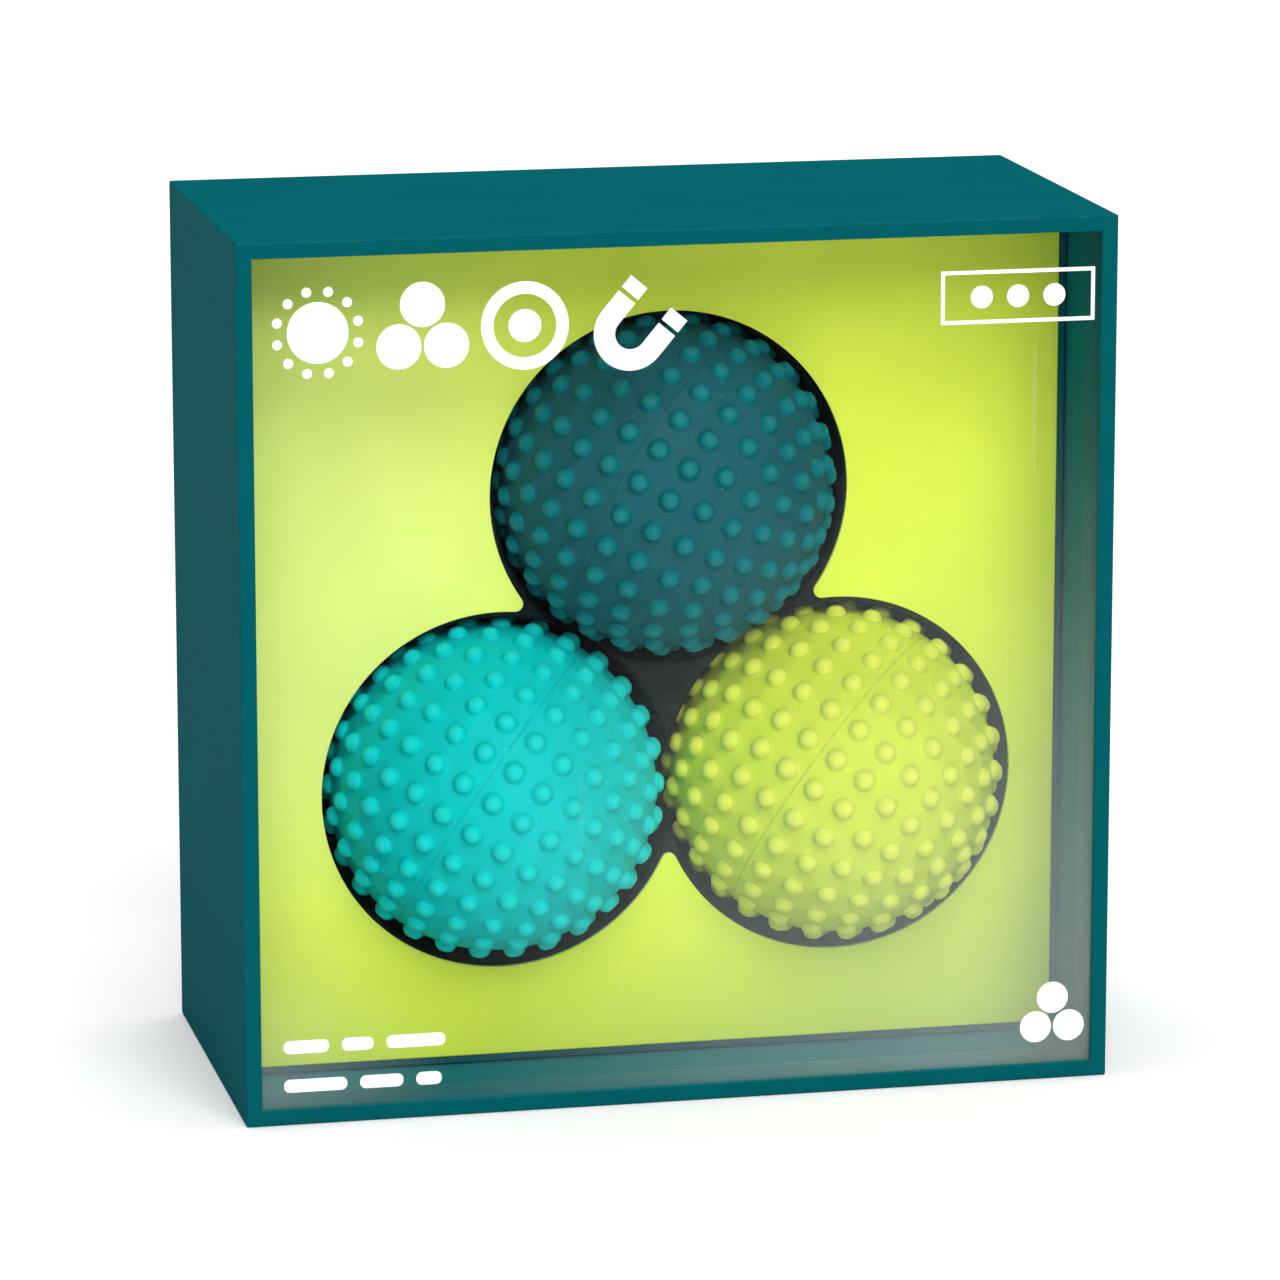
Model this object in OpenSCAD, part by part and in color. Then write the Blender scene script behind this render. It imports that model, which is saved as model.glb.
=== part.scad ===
// Three nubbed silicone magnet balls in a windowed display box.
// The box stands on its bottom edge with the window facing -Y.
// The origin is the middle of the box's underside.

/* [Balls] */
// Diameter of a ball over the tips of its nubs
ball_d = 35.5; // [30:0.5:44]
// Height of a nub above the ball's skin
nub_h = 0.95; // [0.6:0.05:1.3]
// Diameter of a nub's round tip
nub_d = 2.1; // [1.6:0.05:2.6]
// Angle between one ring of nubs and the next
ring_step = 12; // [12:0.5:12.5]
// Height of the mould parting ridge
ridge_h = 0.1; // [0.05:0.01:0.2]
// Thickness of the silicone skin between the nubs
skin_t = 1.3; // [0.8:0.1:2]

/* [Core and magnet] */
// Outer wall of the hollow plastic core
core_wall = 2; // [1.2:0.1:2.5]
// Wall of the cup round the magnet
cup_wall = 1.4; // [1:0.1:2]
// Thickness of the ribs between the cup and the outer wall
rib_t = 1.2; // [0.8:0.1:2]
// Number of ribs in each half of the core
rib_count = 6; // [3:1:9]
// Diameter of the pins that locate the halves
pin_d = 1.6; // [1:0.1:2]
// Length of the pins beyond the split
pin_l = 2.2; // [1.5:0.1:3]
// Diameter of the sphere magnet
magnet_d = 19; // [15:0.5:23]

/* [Display box] */
// Board between the balls' cut-out and the box's left and right sides
side_margin = 8.4; // [6:0.1:20]
// Board between the balls' cut-out and the box's top and bottom
end_margin = 10.75; // [8:0.05:20]
// How far the balls sit to the right of the middle
set_shift = 2.2; // [-3:0.1:3]
// Space between the ball cups and the back panel
back_space = 5.6; // [3:0.1:12]
// Thickness of the box board
board = 0.6; // [0.4:0.05:1]
// Width of the frame round the window
border = 1.6; // [1.2:0.1:6]
// Depth of the lime deck behind the front of the box
deck_recess = 16; // [11:0.5:18]
// Thickness of the lime card
card = 0.45; // [0.3:0.05:0.8]
// Thickness of the window film
film = 0.3; // [0.2:0.05:0.5]
// Length of the film's glued returns
film_return = 8; // [4:0.5:10]
// Thickness of the black blister
blister = 0.35; // [0.25:0.05:0.6]
// Radius of the card's rounded points between the balls
point_r = 0.8; // [0.4:0.1:1.5]

/* [Clearances] */
// Gap between neighbouring balls
ball_gap = 0.3; // [0.2:0.05:1]
// Gap between a ball and the window film
window_gap = 0.35; // [0.2:0.05:2]
// Gap between a ball and its cup
cup_gap = 0.4; // [0.3:0.05:1]
// Gap between a ball and the cut edge of the card
cut_gap = 0.4; // [0.3:0.05:1.5]
// How far the cut-out's circles are drawn in towards each other
cut_draw = 0.45; // [0:0.05:0.6]
// Sliding gap between the box's two halves
slide_gap = 0.25; // [0.15:0.05:0.6]
// Gap between the blister's flange and the card's sides
flange_gap = 0.4; // [0.2:0.1:2]
// Gap between the magnet and its cavity
magnet_gap = 0.25; // [0.15:0.05:0.5]
// Adhesive film between the skin and the core
bond_gap = 0.05; // [0.03:0.01:0.1]
// Gap round and beyond a locating pin
pin_gap = 0.1; // [0.05:0.05:0.2]

/* [Hidden] */

// Radii of a ball, from the nub tips inwards
ball_r = ball_d / 2;
nub_r = nub_d / 2;
body_r = ball_r - nub_h;
skin_in_r = body_r - skin_t;
core_r = skin_in_r - bond_gap;
magnet_r = magnet_d / 2;
cavity_r = magnet_r + magnet_gap;
cup_r = cavity_r + cup_wall;
boss_r = pin_d / 2 + 1;
boss_h = pin_l + 1.2;
pin_count = 3;

// Each boss sinks this far into the magnet cup, or stands midway where the gap is narrow
boss_sink = 0.65;
pin_circle_r = min((cup_r + core_r - core_wall) / 2, cup_r + boss_r - boss_sink);

// Nubs on each ring, from the ring beside the parting ridge to the pole
ring_nubs = [28, 28, 23, 23, 17, 12, 6, 1];

// The three balls stand in an equal-sided triangle
pitch = ball_d + ball_gap;
rise = pitch * sqrt(3) / 2;
cut_r = ball_r + cut_gap + cut_draw;
cup_in_r = ball_r + cup_gap;
cup_out_r = cup_in_r + blister;
draw_x = cut_draw * sqrt(3) / 2;
draw_z = cut_draw / 2;

// Overall size of the box
cut_w = pitch - 2 * draw_x + 2 * cut_r;
cut_h = rise - cut_draw - draw_z + 2 * cut_r;
box_w = cut_w + 2 * side_margin;
box_h = cut_h + 2 * end_margin;
box_d = board + film + window_gap + ball_d + cup_gap + blister + back_space + board;

// Where things lie from front to back
front = -box_d / 2;
back = box_d / 2;
pane_front = front + board;
ball_y = pane_front + film + window_gap + ball_r;
deck_front = front + deck_recess;
deck_back = deck_front + card;
back_panel = back - board;

// How far each sheet lies inside the outline of the box
tray_inset = board + slide_gap;
card_inset = tray_inset + board;
flange_inset = card_inset + card + flange_gap;

// Overrun of a cutting shape past the face that it cuts
over = 1;

// Each ball: its place across and up, the way its mould axis leans, and its colour
low_z = box_h / 2 - (rise - cut_draw - draw_z) / 2 - draw_z;
top_ball = [[set_shift, low_z + rise], [117, -33, -92], [0.13, 0.36, 0.42]];
left_ball = [[set_shift - pitch / 2, low_z], [123, -23, -103], [0.02, 0.76, 0.76]];
right_ball = [[set_shift + pitch / 2, low_z], [123, -31, -127], [0.78, 0.88, 0.31]];
balls = [top_ball, left_ball, right_ball];

// Centres of the card's three cut circles, drawn in towards the middle of the set
cut_centres = [
  [set_shift, low_z + rise - cut_draw],
  [set_shift - pitch / 2 + draw_x, low_z + draw_z],
  [set_shift + pitch / 2 - draw_x, low_z + draw_z]
];

// ---- Helpers ----

// Extrudes a front view, drawn across and up, from one depth to another
module slab(y_front, y_back) {
  translate([0, y_back, 0]) rotate([90, 0, 0]) linear_extrude(y_back - y_front) children();
}

// Front outline of the box, taken in by inset
module outline(inset) {
  translate([inset - box_w / 2, inset]) square([box_w - 2 * inset, box_h - 2 * inset]);
}

// Puts a ball's own frame, whose Z is its mould axis, at its place in the box
module place(ball) {
  translate([ball[0][0], ball_y, ball[0][1]])
    rotate([0, ball[1][0], ball[1][1]]) rotate([0, 0, ball[1][2]]) children();
}

// Half a solid sphere above the split plane
module dome(r) {
  intersection() {
    sphere(r = r, $fn = 96);
    translate([-r - over, -r - over, 0]) cube([2 * (r + over), 2 * (r + over), r + over]);
  }
}

// Repeats its children round the Z axis
module ring_of(count) {
  for (i = [0 : count - 1]) rotate([0, 0, 360 * i / count]) children();
}

// ---- Balls ----

// All the nubs of a ball: rings on both sides of the parting ridge
module nubs() {
  for (side = [-1, 1], k = [0 : len(ring_nubs) - 1], i = [0 : ring_nubs[k] - 1])
    rotate([0, 90 - side * min(90, ring_step * (k + 0.5)), 360 * i / ring_nubs[k]])
      translate([0, 0, ball_r - nub_r]) sphere(r = nub_r, $fn = 16);
}

// The low ridge where the two halves of the skin's mould meet
module parting_ridge() {
  rotate_extrude($fn = 96) translate([body_r - ridge_h, 0]) circle(r = 2 * ridge_h, $fn = 16);
}

// Silicone skin: a closed hollow ball with nubs
module ball_skin(ball) {
  color(ball[2]) place(ball) difference() {
    union() {
      sphere(r = body_r, $fn = 96);
      parting_ridge();
      nubs();
    }
    sphere(r = skin_in_r, $fn = 96);
  }
}

// Half of the hollow core: outer wall, magnet cup, ribs and pin bosses, open at the split
module core_half() {
  difference() {
    dome(core_r);
    difference() {
      dome(core_r - core_wall);
      sphere(r = cup_r, $fn = 96);
      ring_of(rib_count) translate([0, -rib_t / 2, -over]) cube([core_r, rib_t, core_r + over]);
      ring_of(pin_count) rotate([0, 0, 30]) translate([pin_circle_r, 0, -over])
        cylinder(r = boss_r, h = boss_h + over, $fn = 32);
    }
    sphere(r = cavity_r, $fn = 96);
  }
}

// Half of the core with the locating pins
module pin_half(ball) {
  color([0.86, 0.86, 0.84]) place(ball) {
    core_half();
    ring_of(pin_count) rotate([0, 0, 30]) translate([pin_circle_r, 0, -pin_l])
      cylinder(r = pin_d / 2, h = pin_l + boss_h / 2, $fn = 32);
  }
}

// Half of the core with the sockets
module socket_half(ball) {
  color([0.8, 0.8, 0.78]) place(ball) mirror([0, 0, 1]) difference() {
    core_half();
    ring_of(pin_count) rotate([0, 0, 30]) translate([pin_circle_r, 0, -over])
      cylinder(r = pin_d / 2 + pin_gap, h = pin_l + pin_gap + over, $fn = 32);
  }
}

// Loose sphere magnet in the middle of the core
module magnet(ball) {
  color([0.75, 0.76, 0.78]) place(ball) sphere(r = magnet_r, $fn = 96);
}

// ---- Display box ----

// Outer half of the box: window frame and four walls, open at the back
module lid_shell() {
  color([0, 0.38, 0.41]) difference() {
    slab(front, back) outline(0);
    slab(pane_front, back + over) outline(board);
    slab(front - over, pane_front + over) outline(border);
  }
}

// Clear film behind the frame, folded back along the walls where it is glued
module window_pane() {
  color([0.85, 0.93, 0.95, 0.35]) difference() {
    slab(pane_front, pane_front + film_return) outline(board);
    slab(pane_front + film, pane_front + film_return + over) outline(board + film);
  }
}

// Inner half of the box: back panel and four walls as far as the deck
module base_tray() {
  color([0, 0.33, 0.36]) difference() {
    slab(deck_front, back) outline(tray_inset);
    slab(deck_front - over, back_panel) outline(card_inset);
  }
}

// One rounded point of the card, between two cut circles a and b: what is trimmed off its tip
module point_trim(a, b) {
  half = norm(b - a) / 2;
  along = (b - a) / (2 * half);
  out = [along[1], -along[0]];
  middle = (a + b) / 2;
  tip = middle + out * sqrt(cut_r * cut_r - half * half) * 0.9;
  centre = middle + out * sqrt(pow(cut_r + point_r, 2) - half * half);
  reach = point_r + 0.02;
  difference() {
    polygon([tip, centre + (a - centre) / norm(a - centre) * reach,
      centre + (b - centre) / norm(b - centre) * reach]);
    translate(centre) circle(r = point_r, $fn = 48);
  }
}

// Opening in the card: three circles, the space between them, and the trimmed points
module trefoil() {
  for (c = cut_centres) translate(c) circle(r = cut_r, $fn = 96);
  polygon(cut_centres);
  for (i = [0 : 2]) point_trim(cut_centres[i], cut_centres[(i + 1) % 3]);
}

// Lime platform: front panel with the opening, and sides folded back to the back panel
module deck_card() {
  color([0.8, 0.91, 0.29]) difference() {
    slab(deck_front, back_panel) outline(card_inset);
    slab(deck_back, back_panel + over) outline(card_inset + card);
    slab(deck_front - over, deck_back + over) trefoil();
  }
}

// A cup's solid form: a half ball behind the ball's middle, and straight as far as the deck
module pod(ball, r, y_front) {
  translate([ball[0][0], ball_y, ball[0][1]]) rotate([90, 0, 0]) rotate_extrude($fn = 96) {
    intersection() {
      circle(r = r, $fn = 96);
      translate([0, -r - over]) square([r + over, r + over]);
    }
    square([r, ball_y - y_front]);
  }
}

// Black thermoformed tray: a flange behind the card and three cups
module blister_tray() {
  color([0.08, 0.11, 0.13]) difference() {
    union() {
      slab(deck_back, deck_back + blister) outline(flange_inset);
      for (ball = balls) pod(ball, cup_out_r, deck_back);
    }
    for (ball = balls) pod(ball, cup_in_r, deck_back - over);
  }
}

// ---- Assembly ----

lid_shell();
window_pane();
base_tray();
deck_card();
blister_tray();
ball_skin(top_ball);  // top_ball_skin
pin_half(top_ball);  // top_ball_pin_half
socket_half(top_ball);  // top_ball_socket_half
magnet(top_ball);  // top_ball_magnet
ball_skin(left_ball);  // left_ball_skin
pin_half(left_ball);  // left_ball_pin_half
socket_half(left_ball);  // left_ball_socket_half
magnet(left_ball);  // left_ball_magnet
ball_skin(right_ball);  // right_ball_skin
pin_half(right_ball);  // right_ball_pin_half
socket_half(right_ball);  // right_ball_socket_half
magnet(right_ball);  // right_ball_magnet
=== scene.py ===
"""The visible finish of three nubbed magnet balls in a windowed display box."""

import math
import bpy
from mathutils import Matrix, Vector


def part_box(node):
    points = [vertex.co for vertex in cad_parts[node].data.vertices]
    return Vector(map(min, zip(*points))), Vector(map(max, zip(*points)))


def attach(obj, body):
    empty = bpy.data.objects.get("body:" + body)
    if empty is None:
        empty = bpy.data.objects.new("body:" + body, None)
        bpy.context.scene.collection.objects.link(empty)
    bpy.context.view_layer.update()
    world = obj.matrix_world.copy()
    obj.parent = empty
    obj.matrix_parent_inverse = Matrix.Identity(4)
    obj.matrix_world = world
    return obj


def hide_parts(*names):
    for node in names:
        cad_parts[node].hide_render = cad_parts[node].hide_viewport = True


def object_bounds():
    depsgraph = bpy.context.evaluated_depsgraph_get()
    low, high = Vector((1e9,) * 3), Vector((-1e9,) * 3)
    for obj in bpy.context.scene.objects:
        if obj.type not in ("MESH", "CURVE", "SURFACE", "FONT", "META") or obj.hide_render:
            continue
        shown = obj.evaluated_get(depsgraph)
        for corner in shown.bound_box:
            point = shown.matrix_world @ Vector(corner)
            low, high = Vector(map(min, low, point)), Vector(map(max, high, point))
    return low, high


bl_info = {
    "name": "Magnet Ball Display Box",
    "version": (1, 0, 0),
    "blender": (4, 5, 0),
    "location": "3D Viewport > Sidebar > Magnet Balls",
    "description": "Builds the folded box, the printed window, the deck and the nubbed balls",
    "category": "Object",
}

import bmesh
import bpy
from bpy.props import (
    FloatProperty,
    FloatVectorProperty,
    IntProperty,
    PointerProperty,
)
from mathutils import Euler, Matrix, Vector

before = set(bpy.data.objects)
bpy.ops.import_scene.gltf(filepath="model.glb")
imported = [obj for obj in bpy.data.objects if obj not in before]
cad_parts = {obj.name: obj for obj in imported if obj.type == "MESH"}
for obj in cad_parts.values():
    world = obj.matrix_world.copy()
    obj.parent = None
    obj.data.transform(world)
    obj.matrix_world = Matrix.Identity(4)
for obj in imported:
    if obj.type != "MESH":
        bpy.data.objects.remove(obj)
CAD_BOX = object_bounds()

MM = 0.001
HAIR = 0.01 * MM
SNAP = 0.001
LID_LOW, LID_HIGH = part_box("lid_shell")
PANE_LOW, PANE_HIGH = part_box("window_pane")
TRAY_LOW, TRAY_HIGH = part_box("base_tray")
CARD_LOW, CARD_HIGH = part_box("deck_card")
BLISTER_LOW, BLISTER_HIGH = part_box("blister_tray")
BOX_CENTRE = (CAD_BOX[0] + CAD_BOX[1]) / 2
OUTWARD = Vector((0, -1, 0))

# Material slots of the board pieces; on the card and the film, slot 1 is cut edge or return
PRINTED, FOLDED, CUT, INSIDE = range(4)
SECOND = 1

# Nubs on each ring, from the ring beside the parting ridge to the pole
RING_NUBS = (28, 28, 23, 23, 17, 12, 6, 1)

# How far a nub's place is first cut back along the skin's edges, in millimetres
NUB_CUT = 1.0

# Each step of a nub's side as shares of its foot's radius and of its height, from the foot up
NUB_STEPS = ((0.79, 0.05), (0.745, 0.30), (0.655, 0.62), (0.42, 0.90))

# The way each ball's mould axis leans, in degrees: tilt, heading and spin
BALL_TURNS = {"top": (117, -33, -92), "left": (123, -23, -103), "right": (123, -31, -127)}
BALL_SLOTS = {
    "top": "dark_teal_silicone",
    "left": "turquoise_silicone",
    "right": "lime_silicone",
}


def ball_centre(name):
    """The middle of a ball, from the magnet at its heart."""
    low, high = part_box(f"{name}_ball_magnet")
    return (low + high) / 2


BALL_CENTRES = {name: ball_centre(name) for name in BALL_TURNS}
SET_CENTRE = sum(BALL_CENTRES.values(), Vector()) / len(BALL_CENTRES)


# ---- Sizes and colours that a user would change ----


def length(name, description, millimetres):
    """A length, given in millimetres and kept in metres."""
    return FloatProperty(
        name=name,
        description=description,
        default=millimetres * MM,
        min=0.0,
        precision=5,
        subtype="DISTANCE",
        unit="LENGTH",
    )


def angle(name, description, degrees):
    """An angle, given in degrees."""
    return FloatProperty(
        name=name,
        description=description,
        default=math.radians(degrees),
        subtype="ANGLE",
        unit="ROTATION",
    )


def linear(*display):
    """Display values from 0 to 255 as linear light."""
    scaled = [value / 255 for value in display]
    return tuple(s / 12.92 if s <= 0.04045 else ((s + 0.055) / 1.055) ** 2.4 for s in scaled)


def paint(name, description, red, green, blue):
    """A colour, given in display values from 0 to 255."""
    return FloatVectorProperty(
        name=name,
        description=description,
        default=linear(red, green, blue),
        min=0.0,
        max=1.0,
        size=3,
        subtype="COLOR",
    )


class BoxSizes(bpy.types.PropertyGroup):
    """Sizes of the sheet goods: board, film, ink, card and blister."""

    border: length("Window border", "Width of the board round the window", 1.6)
    fold_radius: length("Fold radius", "Radius of a fold in the board", 0.22)
    cut_softness: length("Cut softness", "Rounding of a die-cut edge", 0.07)
    film: length("Film", "Thickness of the window film", 0.2)
    glue: length("Glue", "Thickness of the glue between film and board", 0.03)
    ink: length("Ink", "Thickness of the white print", 0.02)
    card: length("Card", "Thickness of the lime card", 0.45)
    cut_radius: length("Cut radius", "Radius of the three circles cut from the card", 18.6)
    cut_draw: length("Cut draw", "How far the circles are drawn in to the middle", 0.45)
    point_radius: length("Point radius", "Rounding of the card's points", 0.8)
    cup_radius: length("Cup radius", "Inner radius of a blister cup", 18.15)
    blister: length("Blister", "Thickness of the black blister", 0.35)
    rim_radius: length("Rim radius", "Radius of the bend from flange to cup", 0.6)


class BallSizes(bpy.types.PropertyGroup):
    """Sizes of a ball's silicone skin."""

    radius: length("Tip radius", "Radius of a ball over the tips of its nubs", 17.75)
    nub_height: length("Nub height", "Height of a nub above the skin", 0.95)
    foot_radius: length("Foot radius", "Radius of the bend at the foot of a nub", 1.4)
    skin: length("Skin", "Thickness of the silicone between the nubs", 1.3)
    ring_step: angle("Ring step", "Angle from one ring of nubs to the next", 12)
    ridge_height: length("Ridge height", "Height of the mould parting ridge", 0.07)
    ridge_width: length("Ridge width", "Half the width of the parting ridge", 0.24)
    rounding: IntProperty(
        name="Nub rounding", description="Fewest sides of a nub", default=12, min=8, max=32
    )


class Colours(bpy.types.PropertyGroup):
    """Colours of the finishes."""

    board: paint("Board", "Printed teal board", 0, 86, 93)
    # Painted light: a brighter copy of the board teal for the inside walls, which sit in shade
    board_inside: paint("Board inside", "Printed inside of the board", 0, 112, 132)
    board_cut: paint("Board cut", "Cut edge of the board", 16, 96, 102)
    card: paint("Card", "Printed lime card", 230, 248, 82)
    # The card's pale patch is painted reflection haze screened over its left, not print
    card_painted_glare: paint("Card pale", "Bloom printed on the card's left", 72, 66, 112)
    card_cut: paint("Card cut", "Cut edge of the lime card", 226, 240, 160)
    blister: paint("Blister", "Black thermoformed sheet", 8, 19, 24)
    ink: paint("Ink", "White print", 250, 250, 250)
    top_body: paint("Top ball", "Skin of the top ball", 30, 96, 106)
    top_nub: paint("Top nubs", "Nubs of the top ball", 0, 118, 124)
    left_body: paint("Left ball", "Skin of the left ball", 0, 198, 199)
    left_nub: paint("Left nubs", "Nubs of the left ball", 0, 206, 204)
    right_body: paint("Right ball", "Skin of the right ball", 212, 229, 58)
    right_nub: paint("Right nubs", "Nubs of the right ball", 222, 232, 80)
    plastic: paint("Core plastic", "Moulded core halves", 214, 214, 210)
    nickel: paint("Nickel", "Plating of the magnets", 208, 206, 202)
    floor: paint("Floor", "Studio floor", 238, 238, 238)


class StageSettings(bpy.types.PropertyGroup):
    """The camera's place and the strength of the studio lights."""

    azimuth: angle("Azimuth", "Turn of the camera round the box", -12.37)
    elevation: angle("Elevation", "Height of the camera above the horizon", 12.15)
    distance: length("Distance", "From the camera to the middle of the box", 669)
    aim_right: length("Aim right", "How far right of the box's middle the camera aims", 0.42)
    aim_down: length("Aim down", "How far below the box's middle the camera aims", 1.4)
    lens: FloatProperty(name="Lens", description="Focal length", default=182.9, min=10.0)
    sky: FloatProperty(name="Sky", description="Strength of the white surroundings", default=0.22)
    key: FloatProperty(name="Key", description="Strength of the front light", default=2.2)
    overhead: FloatProperty(name="Overhead", description="Strength of the top light", default=2.4)
    key_spread: angle("Key spread", "How wide the front light looks from the box", 44)
    overhead_spread: angle("Overhead spread", "How wide the top light looks from the box", 60)


# ---- Node recipes ----


class Recipe:
    """One material, built node by node."""

    def __init__(self, name):
        self.material = bpy.data.materials.new(name)
        self.material.use_nodes = True
        self.tree = self.material.node_tree
        self.tree.nodes.clear()
        self.place = self.add("ShaderNodeTexCoord").outputs["Object"]

    def add(self, kind, feeds=(), **settings):
        """Adds a node, sets it up, and feeds its sockets with values or other sockets."""
        node = self.tree.nodes.new(kind)
        for key, value in settings.items():
            setattr(node, key, value)
        for key, value in dict(feeds).items():
            if isinstance(value, bpy.types.NodeSocket):
                self.tree.links.new(value, node.inputs[key])
            else:
                node.inputs[key].default_value = value
        return node

    def noise(self, scale, detail=3.0, roughness=0.5, stretch=None):
        """Smooth noise on the piece's own coordinates; scale is in features per metre."""
        place = self.place
        if stretch:
            place = self.add("ShaderNodeMapping", {"Vector": place, "Scale": stretch}).outputs[0]
        feeds = {"Vector": place, "Scale": scale, "Detail": detail, "Roughness": roughness}
        return self.add("ShaderNodeTexNoise", feeds).outputs[0]

    def remap(self, value, low, high, to_low=0.0, to_high=1.0):
        """Maps low..high to to_low..to_high and holds it there outside."""
        feeds = {0: value, 1: low, 2: high, 3: to_low, 4: to_high}
        return self.add("ShaderNodeMapRange", feeds, interpolation_type="SMOOTHSTEP").outputs[0]

    def maths(self, operation, first, second):
        """One sum on two values."""
        return self.add("ShaderNodeMath", {0: first, 1: second}, operation=operation).outputs[0]

    def blend(self, factor, first, second, kind="MIX"):
        """A colour between two others, or one screened over the other."""
        first, second = (
            (*ink, 1.0) if isinstance(ink, tuple) else ink for ink in (first, second)
        )
        feeds = {0: factor, 6: first, 7: second}
        return self.add("ShaderNodeMix", feeds, data_type="RGBA", blend_type=kind).outputs[2]

    def bump(self, height, distance, strength=1.0, under=None):
        """Fine relief of the given height in metres."""
        feeds = {"Height": height, "Distance": distance, "Strength": strength}
        if under:
            feeds["Normal"] = under
        return self.add("ShaderNodeBump", feeds).outputs[0]

    def distance_to(self, point):
        """How far the surface is from a point of the piece, in metres."""
        feeds = {0: self.place, 1: tuple(point)}
        return self.add("ShaderNodeVectorMath", feeds, operation="DISTANCE").outputs["Value"]

    def specks(self, scale, size, cover):
        """Scattered round specks: 1 on a speck and 0 elsewhere. cover is the share kept."""
        feeds = {"Vector": self.place, "Scale": scale}
        cells = self.add("ShaderNodeTexVoronoi", feeds)
        dots = self.remap(cells.outputs["Distance"], size * 0.7, size, 1.0, 0.0)
        split = self.add("ShaderNodeSeparateColor", {0: cells.outputs["Color"]})
        kept = self.maths("LESS_THAN", split.outputs[0], cover)
        return self.maths("MULTIPLY", dots, kept)

    def mix(self, factor, first, second):
        """A shader between two others."""
        feeds = {0: factor, 1: first.outputs[0], 2: second.outputs[0]}
        return self.add("ShaderNodeMixShader", feeds)

    def mottled(self, colour, value, low, high, dark):
        """A colour that darkens a little as a value goes from low to high."""
        return self.blend(self.remap(value, low, high), colour, darker(colour, dark))

    def finish(self, shader):
        """Connects the last shader and returns the material."""
        output = self.add("ShaderNodeOutputMaterial")
        self.tree.links.new(shader.outputs[0], output.inputs["Surface"])
        return self.material


def lighter(colour, amount):
    """A colour moved towards white."""
    return tuple(c + (1 - c) * amount for c in colour)


def darker(colour, amount):
    """A colour moved towards black."""
    return tuple(c * (1 - amount) for c in colour)


def brighter(colour, amount):
    """A colour in more light, with its hue kept."""
    return tuple(min(1.0, c * (1 + amount)) for c in colour)


def printed_sheet(name, colour, wear, gloss, glare=None):
    """Coated and printed paper: faint fibre relief, blotches in the ink, rubbed places and, if
    given, a painted reflection haze that fades out from one place.
    """
    recipe = Recipe(name)
    fibre = recipe.noise(5200, 5.0, 0.65, (1.0, 1.0, 0.35))
    blotch = recipe.noise(90, 3.0)
    rub = recipe.remap(recipe.noise(420, 6.0, 0.7), 0.6 - 0.12 * wear, 0.78, 0.0, 0.1 + 0.3 * wear)
    ink = recipe.blend(
        recipe.remap(blotch, 0.3, 0.7), darker(colour, 0.035), brighter(colour, 0.02)
    )
    ink = recipe.blend(rub, ink, lighter(brighter(colour, 0.2), 0.06 * wear))
    ink = recipe.blend(recipe.remap(fibre, 0.55, 0.8, 0.0, 0.12), ink, darker(colour, 0.3))
    # Painted reflection: a pale haze screened over the ink, strongest at one place and fading out
    if glare:
        glare_tint, place, reach = glare
        glare_fade = recipe.remap(recipe.distance_to(place), 0.3 * reach, reach, 1.0, 0.0)
        ink = recipe.blend(glare_fade, ink, glare_tint, "SCREEN")
    shader = recipe.add(
        "ShaderNodeBsdfPrincipled",
        {
            "Base Color": ink,
            "Roughness": recipe.remap(fibre, 0.2, 0.8, gloss - 0.05, gloss + 0.1),
            "Specular IOR Level": 0.0,
            "Coat Weight": 0.035,
            "Coat Roughness": 0.3,
            "Normal": recipe.bump(fibre, 0.012 * MM, 0.5),
        },
    )
    return recipe.finish(shader)


def silicone(name, body, nub, centre, sizes):
    """Matt silicone: bright nubs, painted shade round the foot of each, painted highlights on the
    nub tips, dust and scuffs.
    """
    recipe = Recipe(name)
    skin_radius = sizes.radius - sizes.nub_height
    reach = recipe.distance_to(centre)
    mask = recipe.remap(reach, skin_radius + 0.09 * MM, skin_radius + 0.17 * MM)
    # Painted shade: a dark line round the foot of each nub, where its side meets the skin
    crease = recipe.remap(reach, skin_radius + 0.015 * MM, skin_radius + 0.05 * MM, 0.0, 0.55)
    # Painted highlight: the nub colour brightens towards the tip of each nub
    tip_highlight = recipe.remap(reach, skin_radius + 0.6 * MM, sizes.radius)
    mottle = recipe.noise(700, 4.0, 0.6)
    cloud = recipe.noise(95, 2.0)
    skin = recipe.blend(recipe.remap(cloud, 0.3, 0.7), darker(body, 0.05), brighter(body, 0.04))
    skin = recipe.blend(crease, skin, darker(body, 0.45))
    tips = recipe.blend(tip_highlight, nub, brighter(lighter(nub, 0.012), 0.06))
    colour = recipe.blend(mask, skin, tips)
    colour = recipe.blend(recipe.remap(mottle, 0.35, 0.75, 0.0, 0.14), colour, darker(body, 0.16))
    dust = recipe.specks(1100, 0.075, 0.09)
    scuff = recipe.remap(recipe.noise(260, 5.0, 0.7), 0.69, 0.75, 0.0, 0.16)
    colour = recipe.blend(recipe.maths("MAXIMUM", dust, scuff), colour, lighter(nub, 0.4))
    grain = recipe.noise(9000, 2.0)
    shader = recipe.add(
        "ShaderNodeBsdfPrincipled",
        {
            "Base Color": colour,
            "Roughness": 0.6,
            "Specular IOR Level": 0.0,
            "Coat Weight": 0.1,
            "Coat Roughness": recipe.remap(mottle, 0.3, 0.7, 0.44, 0.56),
            "Subsurface Weight": 0.12,
            "Subsurface Radius": (1.0, 0.9, 0.8),
            "Subsurface Scale": 0.5 * MM,
            "Normal": recipe.bump(grain, 0.008 * MM, 0.6),
        },
    )
    return recipe.finish(shader)


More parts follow.
